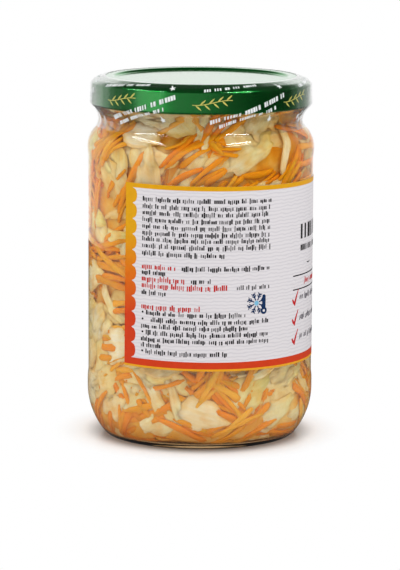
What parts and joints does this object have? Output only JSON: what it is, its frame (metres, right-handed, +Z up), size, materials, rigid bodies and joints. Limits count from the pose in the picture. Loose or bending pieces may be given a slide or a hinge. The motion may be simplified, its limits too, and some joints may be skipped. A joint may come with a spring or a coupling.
{
  "type": "sauerkraut jar",
  "caption": "Sealed glass jar of shredded cabbage and carrot in brine, with a metal screw lid, a clear shrink band over the lid and neck, and a wrap-round paper label.",
  "frame": {"origin": "centre of the standing ring on the underside of the jar", "axes": "+Z up along the jar's axis, -Y the front, +X to the right"},
  "size_m": [0.0866, 0.0866, 0.1378],
  "materials": {
    "glass": "clear, glossy",
    "sauerkraut": "wet, cream and orange shreds",
    "lid": "green gloss lacquer",
    "film": "clear shrink film",
    "label": "printed satin paper"
  },
  "bodies": {
    "root": {"glass_jar": "glass", "sauerkraut": "sauerkraut", "lid": "lid", "seal_film": "film", "label": "label"}
  },
  "joints": []
}
